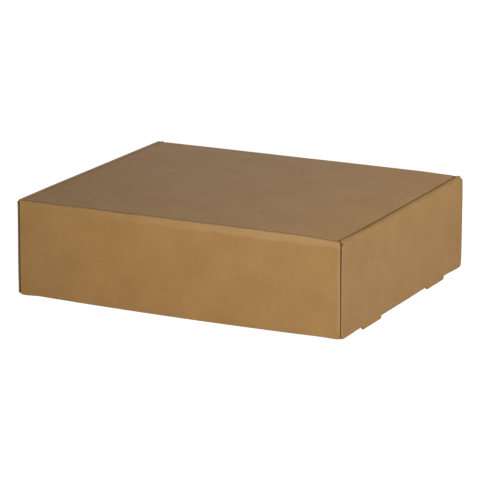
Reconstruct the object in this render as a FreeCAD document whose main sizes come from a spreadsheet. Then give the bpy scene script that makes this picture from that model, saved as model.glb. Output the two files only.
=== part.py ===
import FreeCAD, Part
import math
import os
import Sketcher

# A closed roll-end mailer box of corrugated board, in millimetres.
# X runs along the hinge, +Y goes from the hinge side to the tuck side, +Z is up.
# The origin is on the floor, under the middle of the box.
# One die-cut sheet makes the box. It is two solids here, the tray and its lid,
# because the lid turns about the crease along the top of the rear wall.

doc = FreeCAD.newDocument("mailer_box")

# Driving dimensions

SIZES = [
    ("box_length", 300.0),       # outside, along the hinge
    ("box_width", 250.0),        # outside, from the hinge side to the tuck side
    ("box_height", 81.0),        # underside of the base to the top of the lid
    ("board", 1.5),              # thickness of the corrugated board
    ("ply_gap", 0.2),            # air where one stretch of the sheet ends or lies against another
    ("flap_gap", 0.6),           # air between a dust flap and the outer ply
    ("fold_round", 1.2),         # outer radius of a fold
    ("crease_round", 0.3),       # inner radius of a fold
    ("ridge_drop", 1.0),         # rolled side walls end this much below the lid's top
    ("front_drop", 1.2),         # the front wall's cut edge below the lid's top
    ("side_setback", 0.5),       # side walls' cut edges behind the end walls' faces
    ("corner_notch", 2.5),       # die-cut notch at each corner of the base
    ("ridge_notch", 1.0),        # room between an end wall and the ridge's end
    ("foot_drop", 2.8),          # feet stand out this much under the base
    ("foot_width", 37.0),
    ("foot_spacing", 132.8),     # from the middle of one foot to the next
    ("foot_slant", 0.8),         # how much narrower a foot is at its tip, each end
    ("tab_clearance", 1.0),      # lock tab shorter than its slot, each end
    ("tab_recess", 0.3),         # lock tab's tip above the feet's tips
    ("slot_clearance", 0.3),     # slot wider than the plies it takes, inner side
    ("dust_length", 95.0),       # dust flap, from the end wall's outer face
    ("dust_clearance", 0.6),     # dust flap above the base and under the ridge
    ("dust_taper", 9.0),         # how far a dust flap's corners are cut away
    ("fold_strip_start", 2.0),   # corner folds start this much above the underside
    ("fold_strip_end", 1.8),     # and end this much below the lid's top
    ("lid_gap", 0.8),            # lid to the ridge, each side
    ("wing_depth", 45.0),        # side wing of the lid, from the lid's top
    ("wing_inset", 8.0),         # wing shorter than the box is wide, each end
    ("wing_taper", 12.0),        # how far a wing's lower corners are cut away
    ("tuck_gap", 0.3),           # tuck flap's crease to the front wall
    ("tuck_depth", 50.0),        # tuck flap, from the lid's top
    ("tuck_lean", 6.5),          # degrees, so that it clears the wall as it swings
    ("tuck_clearance", 1.5),     # tuck flap to a wing, each end
    ("tuck_taper", 10.0),        # how far the tuck flap's lower corners are cut away
    ("lap", 5.0),                # overlap of neighbouring stretches of one sheet
]

sheet = doc.addObject("Spreadsheet::Sheet", "sizes")
for row, (alias, number) in enumerate(SIZES, start=1):
    sheet.set("A" + str(row), alias)
    sheet.set("B" + str(row), str(number))
    sheet.setAlias("B" + str(row), alias)
doc.recompute()


class Size:
    """A size as a number and as the formula, over the sheet's cells, that gives it."""

    def __init__(self, number, formula=None):
        self.number = float(number)
        self.formula = formula or repr(float(number))

    def __add__(self, other):
        return joined(self, "+", other, self.number + as_size(other).number)

    def __sub__(self, other):
        return joined(self, "-", other, self.number - as_size(other).number)

    def __mul__(self, other):
        return joined(self, "*", other, self.number * as_size(other).number)

    def __truediv__(self, other):
        return joined(self, "/", other, self.number / as_size(other).number)

    def __neg__(self):
        return Size(-self.number, "(-" + self.formula + ")")


def as_size(value):
    return value if isinstance(value, Size) else Size(value)


def joined(first, sign, second, number):
    return Size(number, "(" + first.formula + " " + sign + " " + as_size(second).formula + ")")


def angle_function(name, angle):
    """The sine, cosine or tangent of a Size that holds degrees."""
    number = getattr(math, name)(math.radians(angle.number))
    return Size(number, name + "(" + angle.formula + " * 1deg)")


def cell(alias):
    return Size(sheet.get(alias), "sizes." + alias)


# Sizes worked out from the sheet

length = cell("box_length")
width = cell("box_width")
board = cell("board")
ply_gap = cell("ply_gap")
fold = cell("fold_round")
crease = cell("crease_round")
lap = cell("lap")

side = length / 2
end = width / 2
underside = cell("foot_drop")
floor_top = underside + board
lid_top = underside + cell("box_height")
lid_under = lid_top - board
ridge_top = lid_top - cell("ridge_drop")
ridge_under = ridge_top - board

outer_ply_in = side - board
flap_out = outer_ply_in - cell("flap_gap")
flap_in = flap_out - board
inner_ply_out = flap_in - ply_gap
inner_ply_in = inner_ply_out - board
inner_ply_end = floor_top + ply_gap

wall_in = end - board
lid_side = inner_ply_in - cell("lid_gap")
wing_in = lid_side - board
lid_front = wall_in - cell("tuck_gap")


# Sketches, pads and pockets whose every size is bound to the sheet

def new_body(label):
    body = doc.addObject("PartDesign::Body", label)
    body.Label = label
    return body


def origin_plane(body, role):
    return next(f for f in body.Origin.OriginFeatures if f.Role == role)


def point_of(pair):
    return FreeCAD.Vector(pair[0].number, pair[1].number, 0)


def pin_down(sketch, index, place, axis, size):
    """Fix one coordinate of a sketch point, by an axis or by a bound distance."""
    if abs(size.number) < 1e-9:
        own_axis = -2 if axis == "X" else -1
        sketch.addConstraint(Sketcher.Constraint("PointOnObject", index, place, own_axis))
        return
    number = sketch.addConstraint(
        Sketcher.Constraint("Distance" + axis, -1, 1, index, place, size.number))
    sketch.setExpression("Constraints[" + str(number) + "]", size.formula)


def arc_between(start, finish, centre):
    """The short arc from start to finish about centre, and whether it runs clockwise."""
    first = point_of(start) - point_of(centre)
    last = point_of(finish) - point_of(centre)
    clockwise = first.cross(last).z < 0
    angles = [math.atan2(first.y, first.x), math.atan2(last.y, last.x)]
    if clockwise:
        angles.reverse()
    circle = Part.Circle(point_of(centre), FreeCAD.Vector(0, 0, 1), first.Length)
    return Part.ArcOfCircle(circle, angles[0], angles[1]), clockwise


def draw_loop(sketch, steps):
    """One closed outline. A step is (corner, None), or (corner, (centre, radius)) when
    an arc leads from this corner to the next one."""
    ends = []
    for number, (corner, bend) in enumerate(steps):
        following = steps[(number + 1) % len(steps)][0]
        if bend is None:
            index = sketch.addGeometry(Part.LineSegment(point_of(corner), point_of(following)))
            ends.append((index, 1, 2))
        else:
            centre, radius = bend
            curve, clockwise = arc_between(corner, following, centre)
            index = sketch.addGeometry(curve)
            ends.append((index, 2, 1) if clockwise else (index, 1, 2))
            number = sketch.addConstraint(Sketcher.Constraint("Radius", index, radius.number))
            sketch.setExpression("Constraints[" + str(number) + "]", radius.formula)
    for number, (corner, bend) in enumerate(steps):
        before = ends[number - 1]
        this = ends[number]
        sketch.addConstraint(Sketcher.Constraint("Coincident", before[0], before[2], this[0], this[1]))
        pin_down(sketch, this[0], this[1], "X", corner[0])
        pin_down(sketch, this[0], this[1], "Y", corner[1])


def rounded(corners):
    """Steps for draw_loop from corners (u, v) or (u, v, radius) with level and upright edges."""
    steps = []
    for number, corner in enumerate(corners):
        here = corner[:2]
        if len(corner) == 2:
            steps.append((here, None))
            continue
        radius = corner[2]
        arriving = heading(corners[number - 1], corner)
        leaving = heading(corner, corners[(number + 1) % len(corners)])
        first = tuple(here[k] - radius * arriving[k] for k in (0, 1))
        last = tuple(here[k] + radius * leaving[k] for k in (0, 1))
        centre = tuple(first[k] + radius * leaving[k] for k in (0, 1))
        steps.append((first, (centre, radius)))
        steps.append((last, None))
    return steps


def heading(start, finish):
    """Which way a level or upright edge runs, as two whole numbers."""
    run = [finish[k].number - start[k].number for k in (0, 1)]
    return [round(step / max(abs(run[0]), abs(run[1]))) for step in run]


def mirrored(corners):
    """The same outline on the other side of the sketch's upright axis."""
    return [(-corner[0],) + tuple(corner[1:]) for corner in corners]


def new_sketch(body, name, role, loops, offset=None):
    sketch = body.newObject("Sketcher::SketchObject", name)
    sketch.AttachmentSupport = [(origin_plane(body, role), "")]
    sketch.MapMode = "FlatFace"
    if offset is not None:
        sketch.setExpression("AttachmentOffset.Base.z", offset.formula)
    for steps in loops:
        draw_loop(sketch, steps)
    doc.recompute()
    return sketch


def pad(body, name, sketch, thickness, middle=False, backwards=False):
    feature = body.newObject("PartDesign::Pad", name)
    feature.Profile = sketch
    feature.setExpression("Length", thickness.formula)
    feature.Midplane = middle
    feature.Reversed = backwards
    doc.recompute()
    return feature


def pocket(body, name, sketch, depth, middle=False, backwards=False):
    """A cut that has to take material away."""
    before = body.Tip.Shape.Volume
    feature = body.newObject("PartDesign::Pocket", name)
    feature.Profile = sketch
    feature.setExpression("Length", depth.formula)
    feature.Midplane = middle
    feature.Reversed = backwards
    doc.recompute()
    if feature.Shape.Volume >= before:
        raise RuntimeError(name + " takes nothing away")
    return feature


def mirror(body, name, originals):
    """The same features on the other side of the YZ plane."""
    feature = body.newObject("PartDesign::Mirrored", name)
    feature.Originals = originals
    feature.MirrorPlane = (origin_plane(body, "YZ_Plane"), [""])
    body.Tip = feature
    doc.recompute()
    return feature


# Shared shapes

def mitre():
    """The rear crease: the bend's centre, its middle on the mitre and the mitre's inner end."""
    shift = fold - fold * angle_function("cos", Size(45))
    centre = (fold - end, lid_top - fold)
    middle = (shift - end, lid_top - shift)
    inner = (board - end, lid_under)
    return centre, middle, inner


def rectangle(left, low, right, high):
    return rounded([(left, low), (right, low), (right, high), (left, high)])


# The tray: base, rolled double side walls, end walls, dust flaps, feet and lock tabs

def folded_section():
    """The base and both rolled side walls, seen along Y, as one folded strip."""
    right = [
        (side, underside, fold),
        (side, ridge_top, fold),
        (inner_ply_in, ridge_top, fold),
        (inner_ply_in, inner_ply_end),
        (inner_ply_out, inner_ply_end),
        (inner_ply_out, ridge_under, crease),
        (outer_ply_in, ridge_under, crease),
        (outer_ply_in, floor_top, crease),
    ]
    return rounded(right + mirrored(right)[::-1])


def end_wall_sections():
    """Rear wall, mitred where the lid turns, and the lower front wall, seen along X."""
    centre, middle, inner = mitre()
    rear = rounded([
        (lap - end, floor_top),
        (lap - end, underside),
        (-end, underside, fold),
        (-end, lid_top - fold),
    ])
    rear[-1] = (rear[-1][0], (centre, fold))
    rear += [(middle, None), (inner, None)]
    rear += rounded_corner((-wall_in, floor_top), crease, (0, -1), (1, 0))
    front_top = lid_top - cell("front_drop")
    front = rounded([
        (end - lap, floor_top),
        (wall_in, floor_top, crease),
        (wall_in, front_top),
        (end, front_top),
        (end, underside, fold),
        (end - lap, underside),
    ])
    return [rear, front]


def rounded_corner(corner, radius, arriving, leaving):
    first = tuple(corner[k] - radius * arriving[k] for k in (0, 1))
    last = tuple(corner[k] + radius * leaving[k] for k in (0, 1))
    centre = tuple(first[k] + radius * leaving[k] for k in (0, 1))
    return [(first, (centre, radius)), (last, None)]


def corner_folds():
    """The four upright folds between an end wall and its dust flaps, seen from above."""
    leg_end = end - board - ply_gap
    rear_right = [
        (flap_in - lap, -end),
        (flap_out, -end, fold),
        (flap_out, -leg_end),
        (flap_in, -leg_end),
        (flap_in, -wall_in),
        (flap_in - lap, -wall_in),
    ]
    front_right = [(corner[0], -corner[1]) + tuple(corner[2:]) for corner in rear_right]
    loops = [rear_right, front_right, mirrored(rear_right), mirrored(front_right)]
    return [rounded(loop) for loop in loops]


def dust_flap_outlines():
    """Rear and front dust flaps of one side, with their far corners cut away."""
    low = floor_top + cell("dust_clearance")
    high = ridge_under - cell("dust_clearance")
    root = wall_in
    tip = end - cell("dust_length")
    taper = cell("dust_taper")
    front = [
        ((root, low), None),
        ((root, high), None),
        ((tip + taper, high), None),
        ((tip, high - taper), None),
        ((tip, low + taper), None),
        ((tip + taper, low), None),
    ]
    rear = [((-corner[0], corner[1]), None) for corner, bend in front]
    return [front, rear]


def foot_centres():
    return [-cell("foot_spacing") / 2, cell("foot_spacing") / 2]


def foot_outlines():
    """Feet: the outer ply runs on below the base, a little narrower at its tip."""
    half = cell("foot_width") / 2
    tip = half - cell("foot_slant")
    root = underside + fold + crease
    return [
        [
            ((middle - tip, Size(0)), None),
            ((middle + tip, Size(0)), None),
            ((middle + half, underside), None),
            ((middle + half, root), None),
            ((middle - half, root), None),
            ((middle - half, underside), None),
        ]
        for middle in foot_centres()
    ]


def tab_outlines():
    """Lock tabs: the inner ply runs on through the base's slots."""
    half = cell("foot_width") / 2 - cell("tab_clearance")
    tip = half - cell("foot_slant")
    return [
        [
            ((middle - tip, cell("tab_recess")), None),
            ((middle + tip, cell("tab_recess")), None),
            ((middle + half, underside), None),
            ((middle + half, inner_ply_end + board), None),
            ((middle - half, inner_ply_end + board), None),
            ((middle - half, underside), None),
        ]
        for middle in foot_centres()
    ]


def slot_outlines():
    """Slots in the base, just inside the outer plies, for the lock tabs."""
    half = cell("foot_width") / 2
    slot_in = inner_ply_in - cell("slot_clearance")
    loops = []
    for middle in foot_centres():
        loops.append(rectangle(slot_in, middle - half, outer_ply_in, middle + half))
        loops.append(rectangle(-outer_ply_in, middle - half, -slot_in, middle + half))
    return loops


def both_ends(outline):
    """An outline at the front end and its twin at the rear."""
    return [rounded(outline), rounded(mirrored(outline))]


def make_tray():
    body = new_body("tray")
    section = new_sketch(body, "tray_section", "XZ_Plane", [folded_section()])
    side_walls = pad(body, "base_and_side_walls", section,
                     width - cell("side_setback") * 2, middle=True)

    base_end = end - cell("corner_notch")
    ridge_end = wall_in - cell("ridge_notch")
    base_trim = both_ends([(base_end, Size(0)), (end + lap, Size(0)),
                           (end + lap, floor_top), (base_end, floor_top)])
    ridge_trim = both_ends([(ridge_end, floor_top), (end + lap, floor_top),
                            (end + lap, lid_top), (ridge_end, lid_top)])
    pocket(body, "base_ends", new_sketch(body, "base_trim", "YZ_Plane", base_trim),
           length + lap, middle=True)
    pocket(body, "ridge_ends", new_sketch(body, "ridge_trim", "YZ_Plane", ridge_trim),
           outer_ply_in * 2, middle=True)

    walls = new_sketch(body, "end_wall_sections", "YZ_Plane", end_wall_sections())
    pad(body, "end_walls", walls, (flap_out - fold) * 2, middle=True)
    strip_low = underside + cell("fold_strip_start")
    strip_high = lid_top - cell("fold_strip_end")
    folds = new_sketch(body, "corner_fold_outlines", "XY_Plane", corner_folds(), strip_low)
    pad(body, "corner_folds", folds, strip_high - strip_low)

    slot_top = floor_top + ply_gap / 2
    slots = new_sketch(body, "slot_outlines", "XY_Plane", slot_outlines(), slot_top)
    pocket(body, "slots", slots, slot_top)

    flaps = pad(body, "dust_flaps",
                new_sketch(body, "dust_flap_outlines", "YZ_Plane", dust_flap_outlines(), flap_in), board)
    feet = pad(body, "feet",
               new_sketch(body, "foot_outlines", "YZ_Plane", foot_outlines(), outer_ply_in), board)
    tabs = pad(body, "lock_tabs",
               new_sketch(body, "tab_outlines", "YZ_Plane", tab_outlines(), inner_ply_in), board)
    mirror(body, "left_side", [flaps, feet, tabs])
    return body


# The lid: top panel, side wings and tuck flap

def panel_section():
    """The lid's top panel, seen along X, from the mitre to the notches at its front."""
    centre, middle, inner = mitre()
    panel_front = lid_front - fold * 2
    return [
        (middle, (centre, fold)),
        ((fold - end, lid_top), None),
        ((panel_front, lid_top), None),
        ((panel_front, lid_under), None),
        (inner, None),
    ]


def hinge_strip_section():
    """The lid's half of the crease, as wide as the rear wall with its corner folds."""
    centre, middle, inner = mitre()
    return [
        (middle, (centre, fold)),
        ((fold - end, lid_top), None),
        ((board - end, lid_top), None),
        (inner, None),
    ]


def tuck_section():
    """The front crease and the tuck flap below it, leaning inwards."""
    lean = cell("tuck_lean")
    sine = angle_function("sin", lean)
    cosine = angle_function("cos", lean)
    tangent = angle_function("tan", lean)
    half_turn = angle_function("tan", (lean + 90) / 2)
    depth = cell("tuck_depth")
    outer_run = fold * half_turn
    bend_centre = (lid_front - outer_run, lid_top - fold)
    outer_bend = (lid_front - outer_run * sine, lid_top - outer_run * cosine)
    outer_tip = (lid_front - depth * tangent, lid_top - depth)
    inner_tip = (outer_tip[0] - board * cosine, outer_tip[1] + board * sine)
    inner_corner = (lid_front - board * half_turn, lid_under)
    return [
        ((lid_front - lap, lid_under), None),
        ((lid_front - lap, lid_top), None),
        ((lid_front - outer_run, lid_top), (bend_centre, fold)),
        (outer_bend, None),
        (outer_tip, None),
        (inner_tip, None),
        (inner_corner, None),
    ]


def wing_sections():
    """Both side wings with their creases, seen along Y."""
    wing_end = lid_top - cell("wing_depth")
    right = [
        (lid_side - lap, lid_top),
        (lid_side, lid_top, fold),
        (lid_side, wing_end),
        (wing_in, wing_end),
        (wing_in, lid_under, crease),
        (lid_side - lap, lid_under),
    ]
    return [rounded(right), rounded(mirrored(right))]


def wing_corner_cuts():
    """What is cut from a wing's lower corners, seen along X."""
    wing_end = lid_top - cell("wing_depth")
    wing_tip = end - cell("wing_inset")
    taper = cell("wing_taper")
    front = [
        ((wing_tip - taper, wing_end), None),
        ((wing_tip, wing_end), None),
        ((wing_tip, wing_end + taper), None),
    ]
    rear = [((-corner[0], corner[1]), None) for corner, bend in front]
    return [front, rear]


def tuck_corner_cuts(tuck_side):
    """What is cut from the tuck flap's lower corners, seen along Y."""
    tuck_low = lid_top - cell("tuck_depth")
    taper = cell("tuck_taper")
    right = [
        ((tuck_side - taper, tuck_low), None),
        ((tuck_side, tuck_low), None),
        ((tuck_side, tuck_low + taper), None),
    ]
    left = [((-corner[0], corner[1]), None) for corner, bend in right]
    return [right, left]


def make_lid():
    body = new_body("lid")
    pad(body, "top_panel", new_sketch(body, "panel_section", "YZ_Plane", [panel_section()]),
        lid_side * 2, middle=True)
    pad(body, "hinge_strip", new_sketch(body, "hinge_strip_section", "YZ_Plane", [hinge_strip_section()]),
        flap_out * 2, middle=True)

    wings = new_sketch(body, "wing_sections", "XZ_Plane", wing_sections())
    pad(body, "wings", wings, (end - cell("wing_inset")) * 2, middle=True)
    wing_cuts = new_sketch(body, "wing_corner_cuts", "YZ_Plane", wing_corner_cuts())
    pocket(body, "wing_corners", wing_cuts, length, middle=True)

    tuck_side = wing_in - cell("tuck_clearance")
    pad(body, "tuck_flap", new_sketch(body, "tuck_section", "YZ_Plane", [tuck_section()]),
        tuck_side * 2, middle=True)
    tuck_cuts = new_sketch(body, "tuck_corner_cuts", "XZ_Plane", tuck_corner_cuts(tuck_side))
    pocket(body, "tuck_corners", tuck_cuts, end)
    return body


def check(bodies):
    """Nothing is left failed, and each piece is one closed solid."""
    for item in doc.Objects:
        if "Invalid" in item.State or "Error" in item.State:
            raise RuntimeError(item.Label + " failed: " + str(item.State))
    for body in bodies:
        if body.Shape.isNull() or not body.Shape.isValid() or len(body.Shape.Solids) != 1:
            raise RuntimeError(body.Label + " is not one valid solid")


bodies = [make_tray(), make_lid()]
doc.recompute()
check(bodies)

os.makedirs("parts", exist_ok=True)
for body in bodies:
    body.Shape.exportStep("parts/" + body.Label + ".step")
    box = body.Shape.BoundBox
    print(body.Label, "volume", round(body.Shape.Volume / 1000, 2), "cm3, box",
          [round(v, 2) for v in (box.XMin, box.YMin, box.ZMin, box.XMax, box.YMax, box.ZMax)])
crease_middle = mitre()[1]
print("hinge axis at y, z:", round(crease_middle[0].number, 4), round(crease_middle[1].number, 4))
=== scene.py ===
# %% [markdown]
# # A closed mailer box of corrugated board
#
# The real box is one die-cut sheet of thin corrugated board. It is creased, rolled at its
# two sides and tucked shut at its front. This lesson dresses the plain solids of the frame:
# it folds the same sheet again as a mesh, with soft creases, cut edges that show the
# flutes, and brown kraft paper. Sizes are in millimetres until a mesh is made.

# %% Load the frame
import math

import bmesh
import bpy
import numpy as np
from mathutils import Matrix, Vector


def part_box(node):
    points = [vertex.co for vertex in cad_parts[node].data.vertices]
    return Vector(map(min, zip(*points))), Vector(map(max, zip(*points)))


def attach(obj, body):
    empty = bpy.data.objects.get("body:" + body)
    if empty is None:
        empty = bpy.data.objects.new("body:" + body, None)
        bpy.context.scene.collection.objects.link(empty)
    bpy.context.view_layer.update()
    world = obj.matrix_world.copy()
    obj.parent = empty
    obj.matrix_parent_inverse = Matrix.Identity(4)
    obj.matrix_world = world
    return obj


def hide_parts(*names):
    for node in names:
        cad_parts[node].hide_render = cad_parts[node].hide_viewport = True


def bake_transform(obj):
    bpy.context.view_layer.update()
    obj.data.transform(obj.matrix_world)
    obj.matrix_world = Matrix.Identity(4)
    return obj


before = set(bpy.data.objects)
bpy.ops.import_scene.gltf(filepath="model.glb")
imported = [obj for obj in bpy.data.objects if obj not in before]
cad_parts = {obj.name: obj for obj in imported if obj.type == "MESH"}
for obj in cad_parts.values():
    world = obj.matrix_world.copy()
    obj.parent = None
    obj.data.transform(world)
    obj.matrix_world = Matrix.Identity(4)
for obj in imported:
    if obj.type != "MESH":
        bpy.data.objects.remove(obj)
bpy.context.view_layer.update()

# %% [markdown]
# ## The camera
#
# A long lens far away keeps the box's upright edges nearly parallel. The place and the two
# angles come from matching the box's seven visible corners, so they are kept to the
# thousandth: a tenth of a degree already moves the picture by several pixels.

# %% Place the camera
CAMERA_PLACE = (1.004405, -2.003855, 0.632131)      # metres
CAMERA_AZIMUTH = 26.709                             # degrees, 0 looks along +Y
CAMERA_ELEVATION = 14.867
LENS = 203.38                                       # millimetres
SENSOR = 36.0


def direction_back(azimuth, elevation):
    """From the object towards a viewer at these angles, in degrees."""
    a = math.radians(azimuth)
    e = math.radians(elevation)
    return Vector((math.sin(a) * math.cos(e), -math.cos(a) * math.cos(e), math.sin(e)))


def new_object(name, data):
    thing = bpy.data.objects.new(name, data)
    bpy.context.scene.collection.objects.link(thing)
    return thing


def aim(thing, back):
    thing.rotation_mode = "QUATERNION"
    thing.rotation_quaternion = (-back).to_track_quat("-Z", "Y")


camera_data = bpy.data.cameras.new("camera")
camera_data.lens = LENS
camera_data.sensor_width = SENSOR
camera = new_object("camera", camera_data)
camera.location = CAMERA_PLACE
aim(camera, direction_back(CAMERA_AZIMUTH, CAMERA_ELEVATION))
bpy.context.scene.camera = camera
print("camera", camera_data.lens, "mm lens,", round(camera.location.length, 3), "m away")

# %% [markdown]
# ## Sizes of the folded sheet
#
# The overall sizes are read from the frame. The rest are the ones that the maker of such
# a box sets: board thickness, fold radii, and the small clearances between plies.

# %% Sizes in millimetres
MM_PER_M = 1000.0


def node_corners(node):
    return [[round(value * MM_PER_M, 3) for value in corner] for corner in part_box(node)]


tray_low, tray_high = node_corners("tray")
lid_low, lid_high = node_corners("lid")

SIDE = tray_high[0]                 # outer face of a side wall
END = tray_high[1]                  # outer face of the front wall; the rear wall's is -END
LID_TOP = lid_high[2]
FLAP_OUT = lid_high[0]              # outer face of a dust flap, half-length of the crease
TUCK_TIP = lid_low[2]

BOARD = 1.5
OUTER_BEND = 1.2                    # outer radius of a fold
INNER_BEND = 0.3
UNDERSIDE = 2.8                     # the base, above the feet's tips
FLOOR_TOP = UNDERSIDE + BOARD
LID_UNDER = LID_TOP - BOARD
RIDGE_TOP = LID_TOP - 1.0
RIDGE_UNDER = RIDGE_TOP - BOARD
FRONT_TOP = LID_TOP - 1.2

OUTER_PLY_IN = SIDE - BOARD
FLAP_IN = FLAP_OUT - BOARD
INNER_PLY_OUT = FLAP_IN - 0.2
INNER_PLY_IN = INNER_PLY_OUT - BOARD
INNER_PLY_END = FLOOR_TOP + 0.2
WALL_IN = END - BOARD
WALL_FLAT = FLAP_OUT - OUTER_BEND   # half-width of the rear wall's flat face
LID_SIDE = INNER_PLY_IN - 0.8
WING_IN = LID_SIDE - BOARD
TUCK_SIDE = WING_IN - 1.5
LID_FRONT = WALL_IN - 0.3
PANEL_FRONT = LID_FRONT - 2 * OUTER_BEND

SIDE_END = END - 0.5                # cut end of a side wall's outer ply
BASE_END = END - 2.5                # where the base ends and an end wall's fold begins
FOOT_CENTRES = (-66.4, 66.4)
FOOT_HALF = 18.5
FOOT_SLANT = 0.8
TAB_HALF = FOOT_HALF - 1.0
TAB_TIP = 0.3
SLOT_IN = INNER_PLY_IN - 0.3
FLAP_LOW = FLOOR_TOP + 0.6
FLAP_HIGH = RIDGE_UNDER - 0.6
FLAP_END = END - 95.0
FLAP_TAPER = 9.0
STRIP_LOW = UNDERSIDE + OUTER_BEND     # a corner fold starts where the bottom fold ends
STRIP_HIGH = LID_TOP - 1.8
WING_LOW = LID_TOP - 45.0
WING_END = END - 8.0
WING_TAPER = 12.0
WING_BEND = 0.5                     # the lid's side folds are pressed tighter than the rest
TUCK_LEAN = math.radians(6.5)
TUCK_TAPER = 10.0
LIP_END = -END + 2.3                # the crease's corners end just behind the ridges
SEAM = 3.0                          # the crease strip reaches this far from the corner
print("box", 2 * SIDE, "x", 2 * END, "x", LID_TOP, "mm, board", BOARD, "mm")

# %% [markdown]
# ## Grid lines
#
# Every panel is a grid, so that it can bow and dent a little. Lines lie a few millimetres
# apart, and closer beside a fold. Panels that share a fold use the same lines, so their
# points meet one to one and can be welded.

# %% Helpers for grid lines
STEP = 4.0


def spread(stops, step=STEP):
    """Rising numbers through all the stops, never further apart than step."""
    stops = sorted(set(stops))
    values = [stops[0]]
    for start, stop in zip(stops, stops[1:]):
        count = max(1, math.ceil((stop - start) / step - 1e-6))
        values += [start + (stop - start) * k / count for k in range(1, count + 1)]
    return np.array(values)


def both_signs(values):
    return [sign * value for value in values for sign in (-1, 1)]


foot_stops = [c + s for c in FOOT_CENTRES for s in (-FOOT_HALF, -TAB_HALF, TAB_HALF, FOOT_HALF)]
X_LINES = spread(both_signs([TUCK_SIDE, WING_IN, LID_SIDE, SLOT_IN, WALL_FLAT, 138.0]))
Y_LINES = spread(both_signs([BASE_END, SIDE_END, 119.0]) + foot_stops)
print(len(X_LINES), "lines along the hinge,", len(Y_LINES), "lines across it")

# %% [markdown]
# ## Sections: how a strip of board bends
#
# A strip of board is drawn from its side as two matched lines, the outer face and the
# inner face. It runs straight or turns. A crease squeezes the board, so the inner face
# turns tighter than the outer one instead of round the same centre.

# %% A section of the sheet
class Section:
    """Matched points of the outer and inner face, the distance along the sheet, and how
    near each point is to the middle of a fold, from 0 to 1."""

    def __init__(self, outer, inner, along=0.0, sense=1.0):
        self.outer = [np.array(outer, float)]
        self.inner = [np.array(inner, float)]
        self.along = [along]
        self.fold = [0.0]
        self.sense = sense

    def add(self, outer, inner, fold=0.0):
        outer = np.array(outer, float)
        inner = np.array(inner, float)
        middle = (outer + inner) / 2
        last = (self.outer[-1] + self.inner[-1]) / 2
        self.along.append(self.along[-1] + self.sense * float(np.linalg.norm(middle - last)))
        self.outer.append(outer)
        self.inner.append(inner)
        self.fold.append(fold)

    def run(self, outer, inner, near=(1.0, 2.5)):
        """Straight on, with extra points close to both ends, where the folds are."""
        outer = np.array(outer, float)
        inner = np.array(inner, float)
        first_out = self.outer[-1]
        first_in = self.inner[-1]
        length = float(np.linalg.norm(outer - first_out))
        stops = [0.0, length] + [s for d in near for s in (d, length - d) if d < length / 2]
        for distance in spread(stops)[1:]:
            share = distance / length
            self.add(first_out + (outer - first_out) * share, first_in + (inner - first_in) * share)

    def turn(self, outer_centre, inner_centre, start, finish, steps=8, outer_radius=OUTER_BEND):
        """A fold, between two directions in degrees."""
        for k in range(steps + 1):
            angle = math.radians(start + (finish - start) * k / steps)
            ray = np.array([math.cos(angle), math.sin(angle)])
            outer = np.array(outer_centre) + outer_radius * ray
            inner = np.array(inner_centre) + INNER_BEND * ray
            if k == 0 and np.linalg.norm(outer - self.outer[-1]) < 1e-6:
                continue
            self.add(outer, inner, math.sin(math.pi * k / steps))


# %% [markdown]
# ## The sheet as a mesh
#
# Panels go into one list of points and faces. Where two panels meet at a fold, their
# points fall together and nothing closes the board between them. Every other border is
# a cut edge. There the two liners stand a little proud of the crushed core, and where the
# cut crosses the flutes the wavy medium shows between them. It could be painted, but real
# ribbons of board keep their look from any side.

# %% Points, panels and cut edges
LINER = 0
CUT_EDGE = 1
MEDIUM = 2
LINER_SHARE = 0.15                  # one liner's share of the board's thickness
FLUTE_PITCH = 3.4
FLUTE_STEPS = 10
MEDIUM_THICK = 0.18
MEDIUM_CLEAR = 0.62                 # share of its thickness that keeps it off the liners
MEDIUM_SLACK = 0.9                  # it thins a little on its slopes
RIBBON_END = 0.4                    # a ribbon stops this far from the ends of its edge
RIBBON_FRONT = 0.06                 # and starts this far behind the cut
OPEN_DEPTH = 2.2                    # how far one sees into the flutes
RIBBON_BACK = OPEN_DEPTH + 0.2
CLOSED_DEPTH = 0.22                 # where the cut runs along a flute


def unit(vector):
    return vector / max(float(np.linalg.norm(vector)), 1e-9)


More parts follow.
